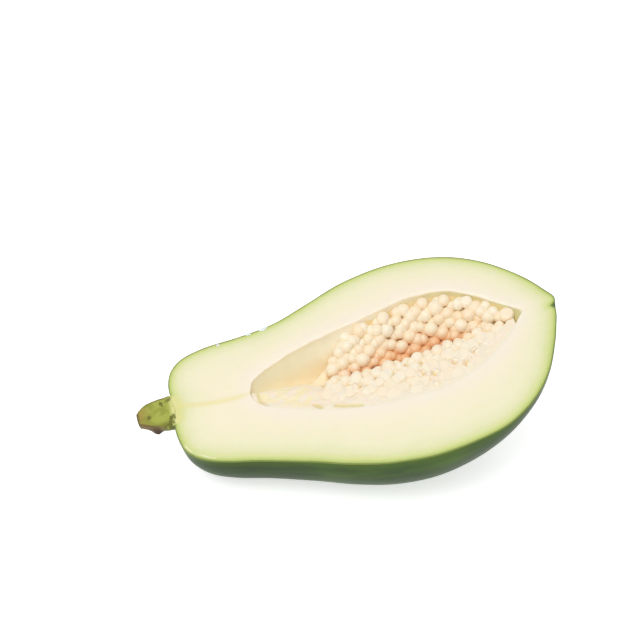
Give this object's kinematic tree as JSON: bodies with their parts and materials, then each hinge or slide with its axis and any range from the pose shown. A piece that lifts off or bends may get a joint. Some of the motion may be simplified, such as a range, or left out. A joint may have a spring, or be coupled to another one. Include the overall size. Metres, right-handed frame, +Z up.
{
  "type": "halved green papaya",
  "caption": "Unripe green papaya cut in half lengthwise, lying on its skin, with pale flesh, a hollow full of white seeds and a cut stem.",
  "frame": {"origin": "on the surface that the half lies on, under the middle of its bounding box", "axes": "+X from the stem to the blossom end, +Y to the far edge of the cut, +Z up; the cut face leans toward -Y and rises toward +X"},
  "size_m": [0.249, 0.1382, 0.0924],
  "materials": {
    "flesh_and_skin": "moist cream flesh on the cut, with a smooth glossy green skin round the outside",
    "seeds": "soft wet white seeds on cream tissue",
    "stem_bark": "rough yellow green bark with brown scars"
  },
  "bodies": {
    "root": {"fruit_half": "flesh_and_skin", "seed_mass": "seeds", "stem": "stem_bark"}
  },
  "joints": []
}
